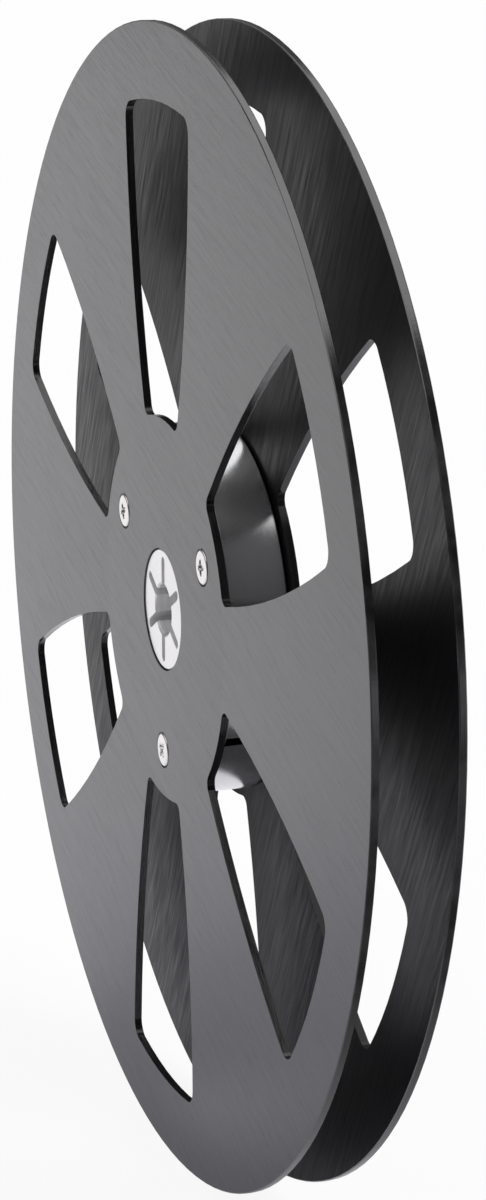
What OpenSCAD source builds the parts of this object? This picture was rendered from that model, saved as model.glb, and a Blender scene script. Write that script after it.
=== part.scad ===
// Seven-inch tape reel: two thin metal flanges screwed to a bright metal drum,
// with a slotted bush that drops over the machine's spindle.
// Millimetres. The spindle runs along Y, the front face looks to -Y, and +Z is up.
// The origin is the centre of the spindle bore.

/* [Flanges] */
// Outside diameter of the flanges
flange_d = 178; // [150:1:200]
// Thickness of the flange sheet
flange_t = 1.2; // [0.8:0.1:2.5]
// How far each flange leans outward from the drum to the rim
flare = 0.55; // [0.1:0.05:1.5]
// Bevel on both corners of the rim
rim_bevel = 0.15; // [0.05:0.05:0.3]
// Flat margin of the flange past the drum, where the lean starts
seat_margin = 0.8; // [0.4:0.1:1.5]

/* [Windows] */
// Number of windows in each flange
windows = 6; // [3:1:7]
// Width of the plain band between the drum and the windows
hub_band = 1.4; // [1.2:0.1:8]
// Width of the plain band between the windows and the rim
rim_band = 11.5; // [7:0.1:24]
// Width between the side edges at the inner end, before the corners are rounded
window_in_w = 15.6; // [10:0.2:22]
// Width between the side edges at the outer end, before the corners are rounded
window_out_w = 30.8; // [20:0.2:38]
// How far each side edge bows outward at its middle
side_bow = 1.7; // [0.4:0.1:3]
// Corner radius at the inner end
inner_corner_r = 1.8; // [0.8:0.1:3]
// Corner radius at the outer end
outer_corner_r = 2.8; // [1:0.1:5]

/* [Drum] */
// Diameter that the tape is wound on
drum_d = 57.2; // [53:0.2:66]
// Width of the drum, which is the room between the flanges
drum_w = 9.7; // [8:0.1:14]
// Wall under the tape
drum_wall = 3; // [2:0.25:4]
// Bevel on the drum's two outer corners
drum_bevel = 0.5; // [0.1:0.05:0.6]
// Thickness of the web half way along the drum
web_t = 2; // [1.2:0.2:3]
// Number of ribs between the boss and the wall
ribs = 9; // [3:3:12]
// Thickness of a rib
rib_t = 1.8; // [1:0.2:3]
// Wall of the central boss round the bush's collar
boss_wall = 1.8; // [1:0.2:3]
// Diameter of the pillar round each screw
pillar_d = 6.6; // [5:0.2:8]
// Width of the slot that holds the tape's end
tape_slot_w = 1.6; // [1:0.1:3]
// Place of the slot round the drum, in degrees from +X
tape_slot_at = -30; // [-40:1:-20]
// Slant of the slot from the radius, in degrees
tape_slot_slant = 20; // [0:5:35]

/* [Spindle bush] */
// Bore for the spindle
bore_d = 8; // [6:0.5:10]
// Outside diameter of the bush
bush_d = 18.9; // [17.6:0.1:20]
// How far each end of the bush lies below the flange
bush_recess = 0.2; // [0.05:0.05:0.5]
// Number of key slots
keys = 6; // [3:3:6]
// Width of a key slot
key_w = 1.5; // [1:0.1:2]
// Distance from the axis to the end of a key slot
key_reach = 8.3; // [6:0.1:8.4]
// Diameter of the collar that the front flange traps
collar_d = 24; // [22:0.5:27]
// Thickness of the collar
collar_t = 2; // [1:0.25:3]
// Bevel on both ends of the bush, outside and in the bore
bush_bevel = 0.25; // [0.1:0.05:0.5]

/* [Screws] */
// Number of screws on each side
screws = 3; // [2:1:3]
// Distance from the outside of the drum to the middle of a screw
screw_inset = 5.95; // [5.2:0.05:6.2]
// Diameter of the screw's shank
screw_d = 3; // [2:0.5:3]
// Length of the screw below the head's edge
screw_l = 5.4; // [4:0.2:5.6]
// Diameter of the countersunk head
head_d = 5.4; // [4.6:0.2:6]
// How far the head's edge stands above the flange
head_proud = 0.3; // [0:0.05:0.4]
// How far the head's edge reaches below the flange
head_sink = 0.15; // [0.05:0.05:0.3]
// Height of the dome on the head
head_dome = 0.15; // [0.05:0.05:0.2]
// Length of the head's cross recess
recess_l = 3; // [2:0.2:3.4]
// Width of the recess
recess_w = 0.75; // [0.4:0.05:1]
// Depth of the recess
recess_depth = 0.9; // [0.5:0.1:1.2]

/* [Fits] */
// Gap round the bush in the flanges and in the drum
bush_gap = 0.06; // [0.03:0.01:0.15]
// Gap between the collar and its pocket, round it and behind the flange
collar_gap = 0.08; // [0.04:0.01:0.15]
// Gap round a screw, on its shank and on its cone
screw_gap = 0.06; // [0.03:0.01:0.1]

/* [Hidden] */
$fn = 96;

// Spare length by which a cut passes the face it opens
over = 1;
// A circle this fine draws the long arcs of a window smoothly
arc_fn = 240;
// How far the arc of a rounded corner passes the edges it joins, so that it meets them cleanly
corner_lap = 0.02;

flange_r = flange_d / 2;
drum_r = drum_d / 2;
bush_r = bush_d / 2;
head_r = head_d / 2;
screw_r = screw_d / 2;
// Place of the flange's outer face at the hub, measured from the reel's middle plane
hub_face = drum_w / 2 + flange_t;
// Radius at which the flange starts to lean
seat_r = drum_r + seat_margin;
// Radii of the inner and outer edges of a window
window_in_r = drum_r + hub_band;
window_out_r = flange_r - rim_band;
// Hole in the flanges and in the drum for the bush
bush_hole_r = bush_r + bush_gap;
// The first window points straight up, and the screws lie in line with every second window
first_window = 90;
first_screw = first_window + 360 / windows;
// Radius of the circle that the screws lie on
screw_circle_r = drum_r - screw_inset;
// Radius of the screw's countersink at the flange's outer face, with a cone of 90 degrees
countersink_r = head_r + head_sink + screw_gap;
screw_hole_r = screw_r + screw_gap;

// Angle of the Nth screw, counted from 1
function screw_angle(i) = first_screw + (i - 1) * 360 / screws;

// How far the flange has leaned outward at radius r
function lean(r) = flare * max(0, r - seat_r) / (flange_r - seat_r);

// Height of the point on a circle of radius r that lies x from the centre line
function on_circle(r, x) = sqrt(r * r - x * x);

// Upper meeting point of a circle of radius r round the origin with a circle of radius s round c
function meet(r, c, s, upper) =
    let (d = norm(c))
    let (a = (r * r - s * s + d * d) / (2 * d))
    let (h = sqrt(r * r - a * a))
    let (along = c / d)
    let (across = [-along[1], along[0]])
    along * a + across * (upper ? -h : h);

// Point at distance r from centre c, on the line from c through p
function reach(c, p, r) = c + (p - c) * r / norm(p - c);

// Window outline, pointing along +Y. Each side is an arc through the ends of its two widths.
side_low = [window_in_w / 2, on_circle(window_in_r, window_in_w / 2)];
side_high = [window_out_w / 2, on_circle(window_out_r, window_out_w / 2)];
side_l = norm(side_high - side_low);
side_r = (side_l * side_l / 4 + side_bow * side_bow) / (2 * side_bow);
side_out = [side_high[1] - side_low[1], side_low[0] - side_high[0]] / side_l;
side_c = (side_low + side_high) / 2 - side_out * (side_r - side_bow);

module on_axis() {
    rotate([90, 0, 0]) children();
}

// Turns a part of the front half round to the rear, keeping the same screw lines
module to_rear() {
    mirror([0, 0, 1]) children();
}

// What a rounded corner takes away: a square on the corner's centre f, less a circle round f.
// The circle meets the arc of radius base_r round the origin at one end, and the side at the other.
module corner_waste(f, base_r, r) {
    on_base = reach([0, 0], f, base_r) - f;
    on_side = reach(side_c, f, side_r) - f;
    difference() {
        polygon([f, f + 3 * on_base, f + 3 * (on_base + on_side), f + 3 * on_side]);
        translate(f) circle(r + corner_lap);
    }
}

module window_outline() {
    inner_f = meet(window_in_r + inner_corner_r, side_c, side_r - inner_corner_r, true);
    outer_f = meet(window_out_r - outer_corner_r, side_c, side_r - outer_corner_r, true);
    difference() {
        intersection() {
            circle(window_out_r, $fn = arc_fn);
            translate(side_c) circle(side_r, $fn = arc_fn);
            mirror([1, 0]) translate(side_c) circle(side_r, $fn = arc_fn);
        }
        circle(window_in_r, $fn = arc_fn);
        for (m = [0, 1]) mirror([m, 0]) {
            corner_waste(inner_f, window_in_r, inner_corner_r);
            corner_waste(outer_f, window_out_r, outer_corner_r);
        }
    }
}

// Sheet of the front flange, from its seat on the drum outward
module flange_sheet() {
    low = drum_w / 2;
    rim = lean(flange_r);
    rotate_extrude($fn = arc_fn) polygon([
        [bush_hole_r, low],
        [seat_r, low],
        [flange_r - rim_bevel, low + lean(flange_r - rim_bevel)],
        [flange_r, low + rim + rim_bevel],
        [flange_r, low + rim + flange_t - rim_bevel],
        [flange_r - rim_bevel, low + lean(flange_r - rim_bevel) + flange_t],
        [seat_r, low + flange_t],
        [bush_hole_r, low + flange_t]
    ]);
}

// Countersink for one screw, with its point toward the drum
module countersink() {
    deep = countersink_r - screw_hole_r;
    translate([0, 0, hub_face - deep])
        cylinder(h = deep + over, r1 = screw_hole_r, r2 = countersink_r + over);
    translate([0, 0, hub_face - deep - over - flange_t])
        cylinder(h = over + flange_t + deep / 2, r = screw_hole_r);
}

module flange() {
    difference() {
        flange_sheet();
        for (k = [1:windows])
            rotate(first_window - 90 + k * 360 / windows)
                translate([0, 0, drum_w / 2 - over])
                    linear_extrude(flange_t + flare + 2 * over) window_outline();
        for (i = [1:screws])
            rotate(screw_angle(i)) translate([screw_circle_r, 0, 0]) countersink();
    }
}

module front_flange() {
    color([0.33, 0.33, 0.34]) on_axis() flange();
}

module rear_flange() {
    color([0.33, 0.33, 0.34]) on_axis() to_rear() flange();
}

// Hollow between the boss and the wall, with the ribs and the pillars standing in it
module drum_hollow() {
    boss_r = collar_d / 2 + collar_gap + boss_wall;
    wall_r = drum_r - drum_wall;
    difference() {
        circle(wall_r);
        circle(boss_r);
        for (k = [1:ribs])
            rotate(first_screw + k * 360 / ribs)
                translate([0, -rib_t / 2]) square([wall_r + over, rib_t]);
        for (i = [1:screws])
            rotate(screw_angle(i)) translate([screw_circle_r, 0]) circle(d = pillar_d);
    }
}

module hub_drum() {
    half = drum_w / 2;
    color([0.8, 0.8, 0.82]) on_axis() difference() {
        rotate_extrude($fn = arc_fn) polygon([
            [bush_hole_r, -half],
            [drum_r - drum_bevel, -half],
            [drum_r, drum_bevel - half],
            [drum_r, half - drum_bevel],
            [drum_r - drum_bevel, half],
            [bush_hole_r, half]
        ]);
        for (side = [0, 1]) mirror([0, 0, side])
            translate([0, 0, web_t / 2]) linear_extrude(half + over) drum_hollow();
        translate([0, 0, half - collar_t - collar_gap])
            cylinder(h = collar_t + collar_gap + over, r = collar_d / 2 + collar_gap);
        for (i = [1:screws])
            rotate(screw_angle(i)) translate([screw_circle_r, 0, 0]) {
                translate([0, 0, -half - over])
                    cylinder(h = drum_w + 2 * over, r = screw_hole_r);
                countersink();
                mirror([0, 0, 1]) countersink();
            }
        rotate(tape_slot_at) translate([drum_r, 0, 0]) rotate(tape_slot_slant)
            translate([-drum_wall - over, -tape_slot_w / 2, -half - over])
                cube([drum_wall + 2 * over, tape_slot_w, drum_w + 2 * over]);
    }
}

module spindle_bush() {
    half = hub_face - bush_recess;
    bore_r = bore_d / 2;
    collar_top = drum_w / 2 - collar_gap;
    color([0.86, 0.86, 0.86]) on_axis() difference() {
        rotate_extrude() polygon([
            [bore_r, bush_bevel - half],
            [bore_r + bush_bevel, -half],
            [bush_r - bush_bevel, -half],
            [bush_r, bush_bevel - half],
            [bush_r, drum_w / 2 - collar_t],
            [collar_d / 2, drum_w / 2 - collar_t],
            [collar_d / 2, collar_top],
            [bush_r, collar_top],
            [bush_r, half - bush_bevel],
            [bush_r - bush_bevel, half],
            [bore_r + bush_bevel, half],
            [bore_r, half - bush_bevel]
        ]);
        translate([0, 0, -half - over]) linear_extrude(2 * (half + over))
            for (k = [1:keys]) rotate(first_window + k * 360 / keys) {
                translate([0, -key_w / 2]) square([key_reach - key_w / 2, key_w]);
                translate([key_reach - key_w / 2, 0]) circle(d = key_w);
            }
    }
}

// Countersunk screw with a low domed head, standing on the reel's axis line
module screw() {
    edge_low = hub_face - head_sink;
    edge_high = hub_face + head_proud;
    tip = edge_low - screw_l;
    cone = head_r - screw_r;
    difference() {
        rotate_extrude() polygon([
            [0, tip],
            [screw_r - screw_r / 4, tip],
            [screw_r, tip + screw_r / 4],
            [screw_r, edge_low - cone],
            [head_r, edge_low],
            [head_r, edge_high],
            [head_r / 2, edge_high + head_dome * 0.8],
            [0, edge_high + head_dome]
        ]);
        for (turn = [45, 135]) rotate(turn)
            translate([-recess_l / 2, -recess_w / 2, edge_high + head_dome - recess_depth])
                cube([recess_l, recess_w, recess_depth + over]);
    }
}

module screw_at(i) {
    rotate(screw_angle(i)) translate([screw_circle_r, 0, 0]) screw();
}

module front_screw(i) {
    color([0.88, 0.88, 0.87]) on_axis() screw_at(i);
}

module rear_screw(i) {
    color([0.88, 0.88, 0.87]) on_axis() to_rear() screw_at(i);
}

front_flange();
rear_flange();
hub_drum();
spindle_bush();
for (i = [1:screws]) {
    front_screw(i);
    rear_screw(i);
}
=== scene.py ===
"""Audio tape reel: materials, screws, floor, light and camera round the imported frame."""
import math

import bmesh
import bpy
from mathutils import Matrix, Vector


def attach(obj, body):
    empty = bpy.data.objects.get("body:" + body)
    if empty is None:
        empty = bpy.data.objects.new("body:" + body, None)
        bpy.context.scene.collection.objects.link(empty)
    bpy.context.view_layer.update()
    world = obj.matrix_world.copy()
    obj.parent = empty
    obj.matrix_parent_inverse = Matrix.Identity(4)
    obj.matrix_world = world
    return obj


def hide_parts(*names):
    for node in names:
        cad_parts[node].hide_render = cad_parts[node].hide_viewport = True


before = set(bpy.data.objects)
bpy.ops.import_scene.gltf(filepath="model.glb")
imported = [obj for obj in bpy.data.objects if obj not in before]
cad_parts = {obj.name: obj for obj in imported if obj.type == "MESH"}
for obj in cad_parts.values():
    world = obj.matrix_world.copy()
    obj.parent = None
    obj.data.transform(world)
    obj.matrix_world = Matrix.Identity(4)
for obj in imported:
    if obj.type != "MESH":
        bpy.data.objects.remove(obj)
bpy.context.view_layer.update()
scene = bpy.context.scene

MM = 0.001
REEL_R = 89.0 * MM              # outer radius of the flanges
FLOOR_Z = -REEL_R
WHITE = (1.0, 1.0, 1.0, 1.0)


def grey(level):
    return level, level, level, 1.0


# ------------------------------------------------------------------ node helper
class Nodes:
    """Short way to write a node tree: most methods add one node and give its output."""

    def __init__(self, owner, out_kind="ShaderNodeOutputMaterial"):
        owner.use_nodes = True
        self.owner = owner
        self.tree = owner.node_tree
        self.tree.nodes.clear()
        self.out = self.tree.nodes.new(out_kind)

    def add(self, kind, outlet=0, inputs=(), **settings):
        node = self.tree.nodes.new(kind)
        for key, value in settings.items():
            setattr(node, key, value)
        for key, value in dict(inputs).items():
            self.put(node, key, value)
        return node.outputs[outlet]

    def put(self, node, key, value):
        socket = node.inputs[key]
        if isinstance(value, bpy.types.NodeSocket):
            self.tree.links.new(value, socket)
        else:
            socket.default_value = value

    def math(self, op, a, b=0.0, clamp=False):
        return self.add("ShaderNodeMath", 0, {0: a, 1: b}, operation=op, use_clamp=clamp)

    def plus(self, a, b):
        return self.math("ADD", a, b)

    def minus(self, a, b):
        return self.math("SUBTRACT", a, b)

    def times(self, a, b):
        return self.math("MULTIPLY", a, b)

    def span(self, value, low, high, to_low=0.0, to_high=1.0, smooth=False):
        """Map low to high onto to_low to to_high, and hold the ends."""
        kind = "SMOOTHSTEP" if smooth else "LINEAR"
        sizes = {"Value": value, "From Min": low, "From Max": high, "To Min": to_low, "To Max": to_high}
        return self.add("ShaderNodeMapRange", 0, sizes, interpolation_type=kind, clamp=True)

    def blend(self, factor, a, b):
        """Mix two numbers."""
        return self.add("ShaderNodeMix", 0, {0: factor, 2: a, 3: b})

    def mix(self, factor, a, b):
        """Mix two colours."""
        return self.add("ShaderNodeMix", 2, {0: factor, 6: a, 7: b}, data_type="RGBA")

    def noise(self, vector, scale=1.0, detail=3.0, rough=0.5):
        """Noise that stays mostly between 0.3 and 0.7, so callers stretch that with span."""
        sizes = {"Vector": vector, "Scale": scale, "Detail": detail, "Roughness": rough}
        return self.add("ShaderNodeTexNoise", 0, sizes, noise_dimensions="3D")

    def place(self, vector, scale=(1, 1, 1), turn=(0, 0, 0), move=(0, 0, 0)):
        sizes = {"Vector": vector, "Location": move, "Rotation": turn, "Scale": scale}
        return self.add("ShaderNodeMapping", 0, sizes, vector_type="POINT")

    def coords(self):
        return self.add("ShaderNodeTexCoord", 3)

    def normal(self):
        return self.add("ShaderNodeTexCoord", 1)

    def axes(self, vector):
        node = self.tree.nodes.new("ShaderNodeSeparateXYZ")
        self.put(node, 0, vector)
        return node.outputs[0], node.outputs[1], node.outputs[2]

    def radius(self, x, z):
        """Distance from the spindle's axis."""
        return self.math("SQRT", self.plus(self.times(x, x), self.times(z, z)))

    def edge(self, reach):
        """0 on a flat face, up to 1 on a sharp edge, and the normal rounded over that edge."""
        soft = self.add("ShaderNodeBevel", 0, {"Radius": reach}, samples=6)
        plain = self.add("ShaderNodeNewGeometry", 1)
        dot = self.add("ShaderNodeVectorMath", 1, {0: soft, 1: plain}, operation="DOT_PRODUCT")
        return self.span(dot, 0.995, 0.80), soft

    def bump(self, height, strength, depth, normal):
        sizes = {"Strength": strength, "Distance": depth, "Height": height, "Normal": normal}
        return self.add("ShaderNodeBump", 0, sizes)

    def shade(self, **sizes):
        node = self.tree.nodes.new("ShaderNodeBsdfPrincipled")
        for key, value in sizes.items():
            self.put(node, key.replace("_", " "), value)
        self.tree.links.new(node.outputs[0], self.out.inputs[0])


def new_nodes(name):
    return Nodes(bpy.data.materials.new(name))


# --------------------------------------------------------------- black anodised
EDGE_REACH = 0.12 * MM          # the worn, rounded strip along a sharp edge

# Shares of Y in a normal, for telling apart the faces and edges of a flange
FACE_COS = (0.75, 0.9)          # from cut edge to flat face
OFF_FACE_COS = (0.9, 0.8)       # from flat face to the rim's bevel
BEVEL_COS = (0.4, 0.6)          # from the rim's wall to its bevel

GRAIN_FRONT = math.radians(-17)
GRAIN_REAR = math.radians(62)
# Noise scales along the grain, through the sheet and across the grain
FINE_GRAIN = (420, 2600, 6200)
MEDIUM_GRAIN = (150, 900, 1900)
BROAD_GRAIN = (75, 400, 1500)
CLOUDS = (34, 34, 34)
EDGE_LINES = (160, 9000, 160)

DEEP_BLACK = (0.0012, 0.0012, 0.0013, 1.0)
PALE_BLACK = (0.0085, 0.0084, 0.0088, 1.0)
CLOUDED_BLACK = (0.0075, 0.0073, 0.0078, 1.0)
HAZED_BLACK = (0.0082, 0.0079, 0.0108, 1.0)
WORN_BLACK = (0.06, 0.06, 0.063, 1.0)
SPECK = 0.11

ROUGH_LOW = 0.15                # smoothest streak of the outer face
ROUGH_HIGH = 0.29               # dullest streak of the outer face
BROAD_ROUGH = 0.035             # what broad streaks, clouds and the inner face's
CLOUD_ROUGH = 0.015             # own unevenness add or take away
INNER_ROUGH = 0.045
EDGE_SMOOTHER = 0.09            # how much smoother cut edges, worn edges and the rim are
WEAR_SMOOTHER = 0.06
RIM_SMOOTHER = 0.02

RIM_LINE_R = REEL_R - 0.4 * MM  # what leans away from a face outside this radius is the rim
RIM_WALL = 0.19                 # how bright the rim's wall mirrors
RIM_BEVEL_HIGHLIGHT = 0.30                # and the two bevels beside it, painted brighter as a highlight


def brushed_black(name, grain_turn, inward, seed, ior, rough_inside):
    """Black anodised sheet: straight grain on its faces, fine lines round its cut edges.

    inward is the sign of Y on the normal of the face that looks at the other flange."""
    n = new_nodes(name)
    at = n.coords()
    x, _, z = n.axes(at)
    r = n.radius(x, z)
    facing_y = n.axes(n.normal())[1]
    flat = n.math("ABSOLUTE", facing_y)
    on_face = n.span(flat, *FACE_COS)
    inside = n.span(n.times(facing_y, inward), *FACE_COS)

    # The grain runs along X once the point is turned about the spindle
    turned = n.place(at, turn=(0, grain_turn, 0))
    fine = n.noise(n.place(turned, FINE_GRAIN, move=(seed, 0, 0)), detail=2.0, rough=0.6)
    medium = n.noise(n.place(turned, MEDIUM_GRAIN, move=(seed + 3, 0, 0)), rough=0.6)
    broad = n.noise(n.place(turned, BROAD_GRAIN, move=(seed + 7, 0, 0)), rough=0.55)
    cloud = n.noise(n.place(at, CLOUDS, move=(seed + 11, 0, 0)), detail=4.0, rough=0.6)
    streak = n.plus(n.times(fine, 0.35), n.times(medium, 0.65))

    # Cut edges: lines that follow the sheet, from noise stretched in its plane
    cut = n.noise(n.place(at, EDGE_LINES), detail=2.0)
    pattern = n.blend(on_face, cut, streak)

    worn, soft = n.edge(EDGE_REACH)
    patchy = n.span(n.noise(at, 420, rough=0.6), 0.42, 0.68)
    wear = n.times(worn, n.span(patchy, 0.0, 1.0, 0.35, 1.0))

    black = n.mix(n.span(pattern, 0.32, 0.68), DEEP_BLACK, PALE_BLACK)
    black = n.mix(n.span(cloud, 0.35, 0.7, 0.0, 0.5), black, CLOUDED_BLACK)
    black = n.mix(n.times(inside, n.span(broad, 0.42, 0.66)), black, HAZED_BLACK)
    colour = n.mix(n.times(wear, 0.4), black, WORN_BLACK)

    # The rim was cut after the sheet was rolled: its wall and its two bevels are smooth and metallic,
    # and the bevels are painted brighter as a highlight
    at_rim = n.math("GREATER_THAN", r, RIM_LINE_R)
    off_face = n.span(flat, *OFF_FACE_COS)
    rubbed = n.span(n.noise(at, 130, rough=0.6), 0.36, 0.62, 0.85, 1.0)
    sloped = n.times(n.span(flat, *BEVEL_COS), off_face)
    tone = n.mix(sloped, grey(RIM_WALL), grey(RIM_BEVEL_HIGHLIGHT))
    cut_rim = n.times(n.times(at_rim, off_face), rubbed)
    colour = n.mix(cut_rim, colour, tone)

    speck = n.span(n.noise(n.place(at, move=(seed, 5, 0)), 2600, 1.0, 0.4), 0.74, 0.80)
    colour = n.mix(n.times(speck, 0.25), colour, grey(SPECK))

    uneven = n.span(broad, 0.35, 0.65, -INNER_ROUGH, INNER_ROUGH)
    rough = n.span(pattern, 0.28, 0.72, ROUGH_LOW, ROUGH_HIGH)
    rough = n.plus(rough, n.times(inside, rough_inside))
    rough = n.plus(rough, n.span(broad, 0.3, 0.7, -BROAD_ROUGH, BROAD_ROUGH))
    rough = n.plus(rough, n.span(cloud, 0.3, 0.7, -CLOUD_ROUGH, CLOUD_ROUGH))
    rough = n.plus(rough, n.times(inside, uneven))
    rough = n.minus(rough, n.span(on_face, 0.0, 1.0, EDGE_SMOOTHER, 0.0))
    rough = n.minus(rough, n.times(wear, WEAR_SMOOTHER))
    rough = n.math("SUBTRACT", rough, n.times(cut_rim, RIM_SMOOTHER), clamp=True)

    height = n.plus(n.times(pattern, 0.8), n.times(broad, 0.35))
    bump = n.bump(height, 0.3, 0.06 * MM, soft)
    n.shade(Base_Color=colour, Metallic=cut_rim, Roughness=rough, IOR=ior, Normal=bump)
    return n.owner


# ----------------------------------------------------------------- bright metal
SHADED_R = 28.45 * MM             # inside this radius the drum dips below its outer surface, and is painted dark there as shade
SHADED_EDGE = 0.1 * MM
SHADE_DARK = (0.012, 0.012, 0.013, 1.0)
SHADE_PALE = (0.03, 0.03, 0.031, 1.0)
BORE_END_R = 8.6 * MM           # the bush's key slots end inside this radius
END_COS = (0.6, 0.85)           # share of Y in a normal, from a round wall to an end
RING_SCALE = 5200
BAND_SCALE = 900
WOBBLE = 0.35 * MM              # how far a lathe line strays
WORN_BRIGHT = 0.97


def turned_metal(name, tint, rough_low, rough_high, bore_r=0.0, bore_rough=0.0, shaded_r=0.0, haze=0.0):
    """Bright metal with lathe lines: rings on its ends, and lines round its walls.

    Inside bore_r its walls are banded and painted darker as shade, and inside shaded_r, where the drum
    dips below its outer surface, it is dull and painted dark as shade."""
    def toned(share):
        return tuple(c * share for c in tint) + (1.0,)

    n = new_nodes(name)
    at = n.coords()
    x, y, z = n.axes(at)
    r = n.radius(x, z)
    on_end = n.span(n.math("ABSOLUTE", n.axes(n.normal())[1]), *END_COS)
    wobble = n.times(n.noise(at, 300, 2.0), WOBBLE)
    ring = n.add("ShaderNodeCombineXYZ", 0, {0: n.plus(n.blend(on_end, y, r), wobble)})
    lines = n.noise(n.place(ring, (RING_SCALE, 1, 1)), rough=0.65)
    bands = n.noise(n.place(ring, (BAND_SCALE, 1, 1)), detail=2.0)
    worn, soft = n.edge(EDGE_REACH)
    smear = n.span(n.noise(at, 160, rough=0.6), 0.35, 0.7)

    colour = n.mix(n.span(lines, 0.3, 0.7), toned(0.88), toned(1.0))
    rough = n.span(lines, 0.25, 0.75, rough_low, rough_high)
    rough = n.plus(rough, n.times(smear, 0.06))
    metallic = 1.0 - haze
    if bore_r:
        inside = n.times(n.minus(1.0, on_end), n.math("LESS_THAN", r, bore_r))
        # Painted shade: the bore's walls are painted darker than its ends, with lathe bands across them
        banded_shade = n.mix(n.span(bands, 0.35, 0.65), toned(0.7), toned(0.88))
        colour = n.mix(n.times(inside, 0.7), colour, banded_shade)
        rough = n.plus(rough, n.times(inside, bore_rough))
        metallic = n.minus(metallic, n.times(inside, 0.5))
    colour = n.mix(n.times(worn, 0.5), colour, grey(WORN_BRIGHT))
    if shaded_r:
        # Painted shade: where the drum dips below its outer surface it is painted dark, and it is
        # rougher there
        shaded = n.span(r, shaded_r - SHADED_EDGE, shaded_r, 1.0, 0.0)
        painted_shade = n.mix(n.span(n.noise(at, 900, rough=0.6), 0.3, 0.7), SHADE_DARK, SHADE_PALE)
        colour = n.mix(shaded, colour, painted_shade)
        rough = n.math("ADD", rough, n.times(shaded, 0.5), clamp=True)
    height = n.plus(n.times(lines, 0.6), n.times(bands, 0.4))
    bump = n.bump(height, 0.22, 0.05 * MM, soft)
    n.shade(Base_Color=colour, Metallic=metallic, Roughness=rough, Normal=bump)
    return n.owner


finish = {
    "front_flange": brushed_black("flange_metal_front", GRAIN_FRONT, inward=1.0, seed=1.0,
                                  ior=1.74, rough_inside=0.5),
    "rear_flange": brushed_black("flange_metal_rear", GRAIN_REAR, inward=-1.0, seed=21.0,
                                 ior=1.43, rough_inside=0.22),
    "hub_drum": turned_metal("drum_bright_metal", (0.92, 0.92, 0.93), 0.12, 0.18,
                             shaded_r=SHADED_R, haze=0.045),
    "spindle_bush": turned_metal("bush_bright_metal", (0.96, 0.96, 0.95), 0.22, 0.34,
                                 bore_r=BORE_END_R, bore_rough=0.1),
}
for node, material in finish.items():
    mesh = bpy.data.objects[node].data
    mesh.materials.clear()
    mesh.materials.append(material)

# ------------------------------------------------- screws, in millimetres
SCREW_CIRCLE = 22.65            # from the reel's axis to a screw's
FIRST_SCREW = 150               # degrees from +X
SCREW_TURN = 120                # degrees from one screw to the next
HUB_FACE = 6.05                 # height of the flange's face
TOP = HUB_FACE + 0.27           # top of the low dome
HEAD_R = 2.57
HEAD_EDGE = HUB_FACE - 0.15     # where the head's cone starts
DOME = 0.16                     # how far the dome falls to the head's edge
ROLL = 0.22                     # radius of the rolled edge
SHANK_R = 1.5
NECK = 0.4                      # plain length between the cone and the thread
PITCH = 0.5
CREST = 0.02                    # how far the thread's crests and roots lie inside the shank
ROOT = 0.26
TIP = 0.52                      # height of the tip
THREAD_STOP = 0.6               # the thread ends this far above the tip
TIP_CHAMFER = 0.4
TIP_SHOULDER = 0.05
CROSS_REACH = 1.4
CROSS_HALF = 0.42
CROSS_TAPER = 0.3               # share of its width that an arm loses to its end
CROSS_DEPTH = 0.62
CROSS_SLOPE = 0.12              # half the width of the slope between the arm's floor and the head
CROSS_END = 0.75                # length of the slope at the arm's end
SPOKES = 96
CROSS_RADII = [0.045 * k for k in range(1, 30)]
HEAD_RADII = [1.4, 1.6, 1.85, 2.1, 2.3, 2.38, 2.44, 2.49, 2.53, 2.555, HEAD_R]
SHARP = math.radians(38)
CROSS_TURNS = {"front": (20, 52, 8), "rear": (35, 70, 12)}
screw_finish = turned_metal("screw_bright_metal", (0.98, 0.97, 0.94), 0.18, 0.30)


def step(low, high, value):
    share = min(1.0, max(0.0, (value - low) / (high - low)))
    return share * share * (3.0 - 2.0 * share)


def cross_depth(u, v):
    """Depth of a tapered cross recess at u, v from the middle of the head."""
    deepest = 0.0
    for along, beside in ((abs(u), abs(v)), (abs(v), abs(u))):
        half = CROSS_HALF * (1.0 - CROSS_TAPER * along / CROSS_REACH)
        wall = 1.0 - step(half - CROSS_SLOPE, half + CROSS_SLOPE, beside)
        end = 1.0 - step(CROSS_REACH - CROSS_END, CROSS_REACH, along)
        deepest = max(deepest, wall * end)
    return CROSS_DEPTH * deepest


def head_height(r):
    """Height of the head's top at radius r: a low dome that rolls over at its edge."""
    dome = TOP - DOME * (r / HEAD_R) ** 2
    past = max(0.0, r - (HEAD_R - ROLL)) / ROLL
    return dome - ROLL * (1.0 - math.sqrt(max(0.0, 1.0 - past * past)))


def screw_profile():
    """Radii and heights below the head's edge: cone, rolled thread and chamfered tip."""
    cone_low = HEAD_EDGE - (HEAD_R - SHANK_R)
    profile = [(HEAD_R, HEAD_EDGE), (SHANK_R, cone_low)]
    h = cone_low - NECK
    while h > TIP + THREAD_STOP:
        profile += [(SHANK_R - CREST, h), (SHANK_R - ROOT, h - PITCH / 2)]
        h -= PITCH
    return profile + [(SHANK_R - TIP_SHOULDER, TIP + TIP_CHAMFER), (SHANK_R - TIP_CHAMFER, TIP)]


def screw_rings(cross_turn):
    """Rings of points from the middle of the head to the tip, each x, z and height."""
    turns = [2 * math.pi * k / SPOKES for k in range(SPOKES)]
    rings = []
    for r in CROSS_RADII + HEAD_RADII:
        ring = []
        for a in turns:
            u, v = r * math.cos(a - cross_turn), r * math.sin(a - cross_turn)
            ring.append((r * math.cos(a), r * math.sin(a), head_height(r) - cross_depth(u, v)))
        rings.append(ring)
    for r, height in screw_profile():
        rings.append([(r * math.cos(a), r * math.sin(a), height) for a in turns])
    return rings


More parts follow.
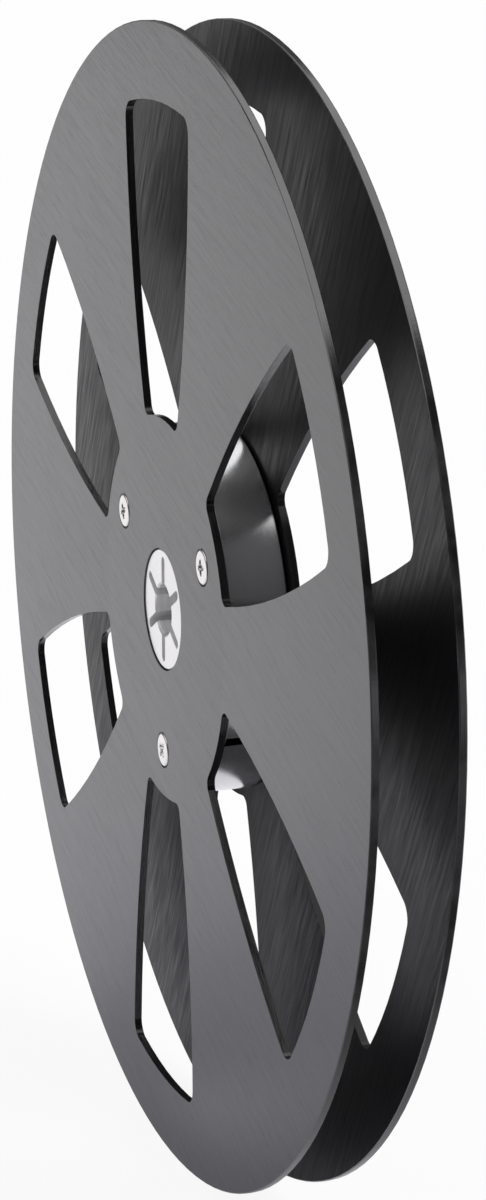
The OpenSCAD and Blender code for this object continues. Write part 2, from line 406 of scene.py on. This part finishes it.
def build_screw(name, angle, side, cross_turn):
    """Countersunk cross-recess screw. side is -1 at the front and 1 at the rear."""
    bm = bmesh.new()
    loops = [[bm.verts.new(point) for point in ring] for ring in screw_rings(cross_turn)]
    middle = bm.verts.new((0, 0, head_height(0) - cross_depth(0, 0)))
    end = bm.verts.new((0, 0, TIP))
    for k in range(SPOKES):
        m = (k + 1) % SPOKES
        bm.faces.new((middle, loops[0][k], loops[0][m]))
        bm.faces.new((end, loops[-1][m], loops[-1][k]))
        for inner, outer in zip(loops, loops[1:]):
            bm.faces.new((inner[k], outer[k], outer[m], inner[m]))
    # From the screw's own frame to its place on the reel: height runs along the spindle
    cx, cz = SCREW_CIRCLE * math.cos(angle), SCREW_CIRCLE * math.sin(angle)
    for vert in bm.verts:
        x, z, height = vert.co
        vert.co = Vector((cx + x, side * height, cz + z)) * MM
    bmesh.ops.recalc_face_normals(bm, faces=bm.faces)
    mesh = bpy.data.meshes.new(name)
    bm.to_mesh(mesh)
    bm.free()
    mesh.shade_smooth()
    mesh.set_sharp_from_angle(angle=SHARP)
    mesh.materials.append(screw_finish)
    thing = bpy.data.objects.new(name, mesh)
    scene.collection.objects.link(thing)
    return thing


for side, sign in (("front", -1), ("rear", 1)):
    for i in (1, 2, 3):
        screw = build_screw(f"cross_screw_{side}_{i}", math.radians(FIRST_SCREW + SCREW_TURN * (i - 1)),
                            sign, math.radians(CROSS_TURNS[side][i - 1]))
        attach(screw, "root")
        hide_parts(f"{side}_screw_{i}")


# ------------------------------------------------------------------------ stage
FLOOR_SIZE = 24                 # metres
SHOWN_WHITE = 0.90              # share of plain white that camera rays see in the floor
MIRROR_NEAR = 0.12              # the same for mirror rays, right beside the reel
MIRROR_FAR = 0.45               # and for mirror rays that land well to the left of it
FAR_EDGES = (0.02, -0.22)       # from near to far, in metres
DIM_EDGES = (-0.02, 0.13)       # where the mirrored floor gets dim towards the right
DIM_FLOOR = 0.07
BEHIND_EDGES = (0.22, 0.15)     # and where, behind the reel, it gets only DIM_BEHIND as dim
DIM_BEHIND = 0.85
TINT_EDGES = (-0.02, -0.32)     # from the painted cool shade near the reel to the far tint
COOL_SHADE_TINT = (0.915, 0.90, 1.0, 1.0)
TINT_FAR = (1.0, 0.985, 0.985, 1.0)


def floor_material():
    """White floor that keeps the reel's shadow. Mirror rays find it grey, and dim on the right."""
    n = new_nodes("floor_white")
    path = n.tree.nodes.new("ShaderNodeLightPath").outputs
    seen = n.math("MAXIMUM", path["Is Camera Ray"], path["Is Transmission Ray"])
    across, back, _ = n.axes(n.coords())
    away = n.math("MINIMUM", across, n.times(back, -1.0))
    mirrored = n.span(away, *FAR_EDGES, MIRROR_NEAR, MIRROR_FAR)
    share = n.math("MAXIMUM", n.times(seen, SHOWN_WHITE), n.times(path["Is Glossy Ray"], mirrored))
    paint = n.mix(n.span(n.noise(n.coords(), 60), 0.3, 0.7), grey(0.86), grey(0.88))
    dim = n.times(n.span(across, *DIM_EDGES, smooth=True),
                  n.span(back, *BEHIND_EDGES, DIM_BEHIND, 1.0, smooth=True))
    dim = n.times(dim, path["Is Glossy Ray"])
    paint = n.mix(dim, paint, grey(DIM_FLOOR))
    share = n.times(share, n.minus(1.0, dim))
    matt = n.add("ShaderNodeBsdfDiffuse", 0, {"Color": paint})
    # Mirror rays find the floor bluer near the reel: painted cool shade
    tint = n.mix(n.span(across, *TINT_EDGES), COOL_SHADE_TINT, TINT_FAR)
    tint = n.mix(path["Is Glossy Ray"], WHITE, tint)
    glow = n.add("ShaderNodeEmission", 0, {"Color": tint, "Strength": 1.0})
    both = n.add("ShaderNodeMixShader", 0, {0: share, 1: matt, 2: glow})
    n.tree.links.new(both, n.out.inputs[0])
    return n.owner


bpy.ops.mesh.primitive_grid_add(x_subdivisions=8, y_subdivisions=8, size=FLOOR_SIZE,
                                location=(0, 0, FLOOR_Z))
floor = bpy.context.object
floor.name = "floor"
floor.data.materials.append(floor_material())

# The studio that mirror rays see. Places in it are parts of a direction of length 1.
MATT_LIGHT = (0.56, 0.56, 0.625, 1.0)   # the even light on matt surfaces
UNLIT_LOW = (0.024, 0.024, 0.025, 1.0)  # dark walls at the height of the reel
UNLIT_HIGH = (0.055, 0.055, 0.056, 1.0)
UNLIT_RISE = (0.0, 0.8)
LEFT_WALL = 0.25                # brightness of the room on the left, above the floor
LEFT_EDGES = (0.14, -0.14)      # where it starts, going left
LEFT_FRONT_EDGES = (-0.5, -0.35)        # and where, going back from the front
LEFT_BACK_EDGES = (0.0, 0.25)   # farther back it fades to this share of itself:
LEFT_BACK = 0.35
CEILING_EDGES = (0.72, 0.83)
CEILING_LEAN = 0.15             # the ceiling reaches lower on the left
FRONT_BOX = 0.5                 # the softbox in front of the reel, which only its bevels mirror
BOX_X = -0.10
BOX_SIDES = (0.36, 0.20)
BOX_FRONT = (-0.5, -0.65)
BOX_HEIGHT = (0.05, 0.42)


def studio(w):
    """White all round for the camera. Mirror rays see a bright ceiling over dim walls,
    dimmest on the right, and matt surfaces get an even soft light."""
    path = w.tree.nodes.new("ShaderNodeLightPath").outputs
    toward_x, toward_y, toward_z = w.axes(w.add("ShaderNodeTexCoord", 0))
    unlit = w.mix(w.span(toward_z, *UNLIT_RISE), UNLIT_LOW, UNLIT_HIGH)
    lit = w.times(w.span(toward_x, *LEFT_EDGES, smooth=True), w.span(toward_y, *LEFT_FRONT_EDGES))
    lit = w.times(lit, w.span(toward_y, *LEFT_BACK_EDGES, 1.0, LEFT_BACK))
    walls = w.mix(lit, unlit, grey(LEFT_WALL))
    overhead = w.minus(toward_z, w.times(toward_x, CEILING_LEAN))
    mirror = w.mix(w.span(overhead, *CEILING_EDGES, smooth=True), walls, WHITE)
    aside = w.math("ABSOLUTE", w.minus(toward_x, BOX_X))
    box = w.times(w.span(toward_y, *BOX_FRONT, smooth=True), w.span(toward_z, *BOX_HEIGHT, smooth=True))
    box = w.times(w.span(aside, *BOX_SIDES, smooth=True), box)
    mirror = w.mix(box, mirror, grey(FRONT_BOX))
    plain = w.math("MAXIMUM", path["Is Camera Ray"], path["Is Transmission Ray"])
    seen = w.mix(path["Is Glossy Ray"], MATT_LIGHT, mirror)
    seen = w.mix(plain, seen, WHITE)
    sky = w.add("ShaderNodeBackground", 0, {"Color": seen, "Strength": 1.0})
    w.tree.links.new(sky, w.out.inputs[0])


scene.world = bpy.data.worlds.new("studio")
studio(Nodes(scene.world, "ShaderNodeOutputWorld"))


def lamp(name, toward, strength, spread, colour):
    """Even studio light from the direction of toward, as soft as its spread in degrees."""
    data = bpy.data.lights.new(name, "SUN")
    data.energy = strength
    data.angle = math.radians(spread)
    data.color = colour
    thing = bpy.data.objects.new(name, data)
    scene.collection.objects.link(thing)
    thing.location = Vector(toward)
    thing.rotation_euler = (-Vector(toward)).to_track_quat("-Z", "Y").to_euler()
    thing.visible_glossy = False


lamp("key_softbox", toward=(0.35, 0.75, 1.0), strength=1.6, spread=50, colour=(1.0, 0.965, 0.93))
lamp("fill_softbox", toward=(-0.8, -0.8, 0.9), strength=0.45, spread=70, colour=(1.0, 0.98, 0.95))

# ----------------------------------------------------------------------- camera
CAMERA_AT = Vector((410.177, -134.780, 114.942)) * MM
RIGHT = Vector((0.326969, 0.945035, 0.0))
DOWN = Vector((0.241205, -0.083453, -0.966879))
AHEAD = Vector((-0.913735, 0.316139, -0.255234))
SENSOR = 36.0                   # millimetres along the frame's long side
LENS = 86.723

data = bpy.data.cameras.new("camera")
camera = bpy.data.objects.new("camera", data)
scene.collection.objects.link(camera)
turn = Matrix((RIGHT, -DOWN, -AHEAD)).transposed()
camera.matrix_world = Matrix.Translation(CAMERA_AT) @ turn.to_4x4()
data.sensor_fit = "AUTO"
data.sensor_width = SENSOR
data.lens = LENS
data.clip_start = 0.01
data.clip_end = 60.0
scene.camera = camera
scene.view_settings.view_transform = "Standard"
